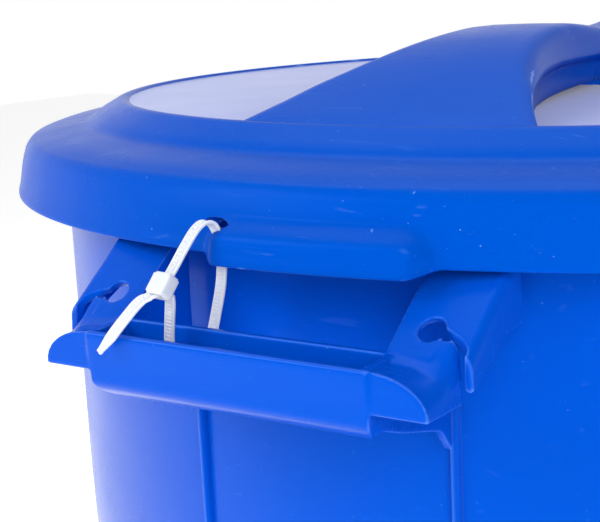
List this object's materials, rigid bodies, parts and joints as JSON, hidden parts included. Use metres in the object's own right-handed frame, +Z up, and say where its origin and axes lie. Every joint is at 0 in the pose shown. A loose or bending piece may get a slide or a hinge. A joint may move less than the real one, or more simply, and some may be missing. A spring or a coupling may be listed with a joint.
{
  "type": "round lidded bin",
  "caption": "Round tapered plastic bin with a lift-off lid, a carrying bridge across the lid, open side handles and a cable-tie seal through the lid's tab.",
  "frame": {"origin": "on the ground under the centre of the tub", "axes": "+Z up along the tub's axis, -Y towards the handle with the cable tie, +X to the right when facing that handle"},
  "size_m": [0.5103, 0.5677, 0.6356],
  "materials": {
    "tub": "royal blue moulded polypropylene, smooth with a soft gloss",
    "lid": "royal blue moulded polypropylene, glossy with light scuffs",
    "tie": "natural nylon, translucent milky white"
  },
  "bodies": {
    "tub": {"tub_wall": "tub", "tub_base": "tub", "tub_rim": "tub", "front_ribs": "tub", "rear_ribs": "tub", "front_grip": "tub", "rear_grip": "tub", "front_arm_left": "tub", "front_arm_right": "tub", "rear_arm_left": "tub", "rear_arm_right": "tub", "front_web_left": "tub", "front_web_right": "tub", "rear_web_left": "tub", "rear_web_right": "tub", "front_wing_left": "tub", "front_wing_right": "tub", "rear_wing_left": "tub", "rear_wing_right": "tub"},
    "lid": {"lid_skirt": "lid", "lid_top": "lid", "lid_bridge": "lid", "front_tab": "lid", "rear_tab": "lid"},
    "tie": {"tie_strap": "tie", "tie_head": "tie"}
  },
  "joints": [
    {"name": "lid_lift", "type": "slide", "parent": "tub", "child": "lid", "axis": [0, 0, 1], "range_m": [0, 0.0075]},
    {"name": "tie_swing", "type": "hinge", "parent": "lid", "child": "tie", "pos_m": [-0.018, -0.2567, 0.584], "axis": [1, 0, 0], "range_deg": [-2, 2]}
  ]
}
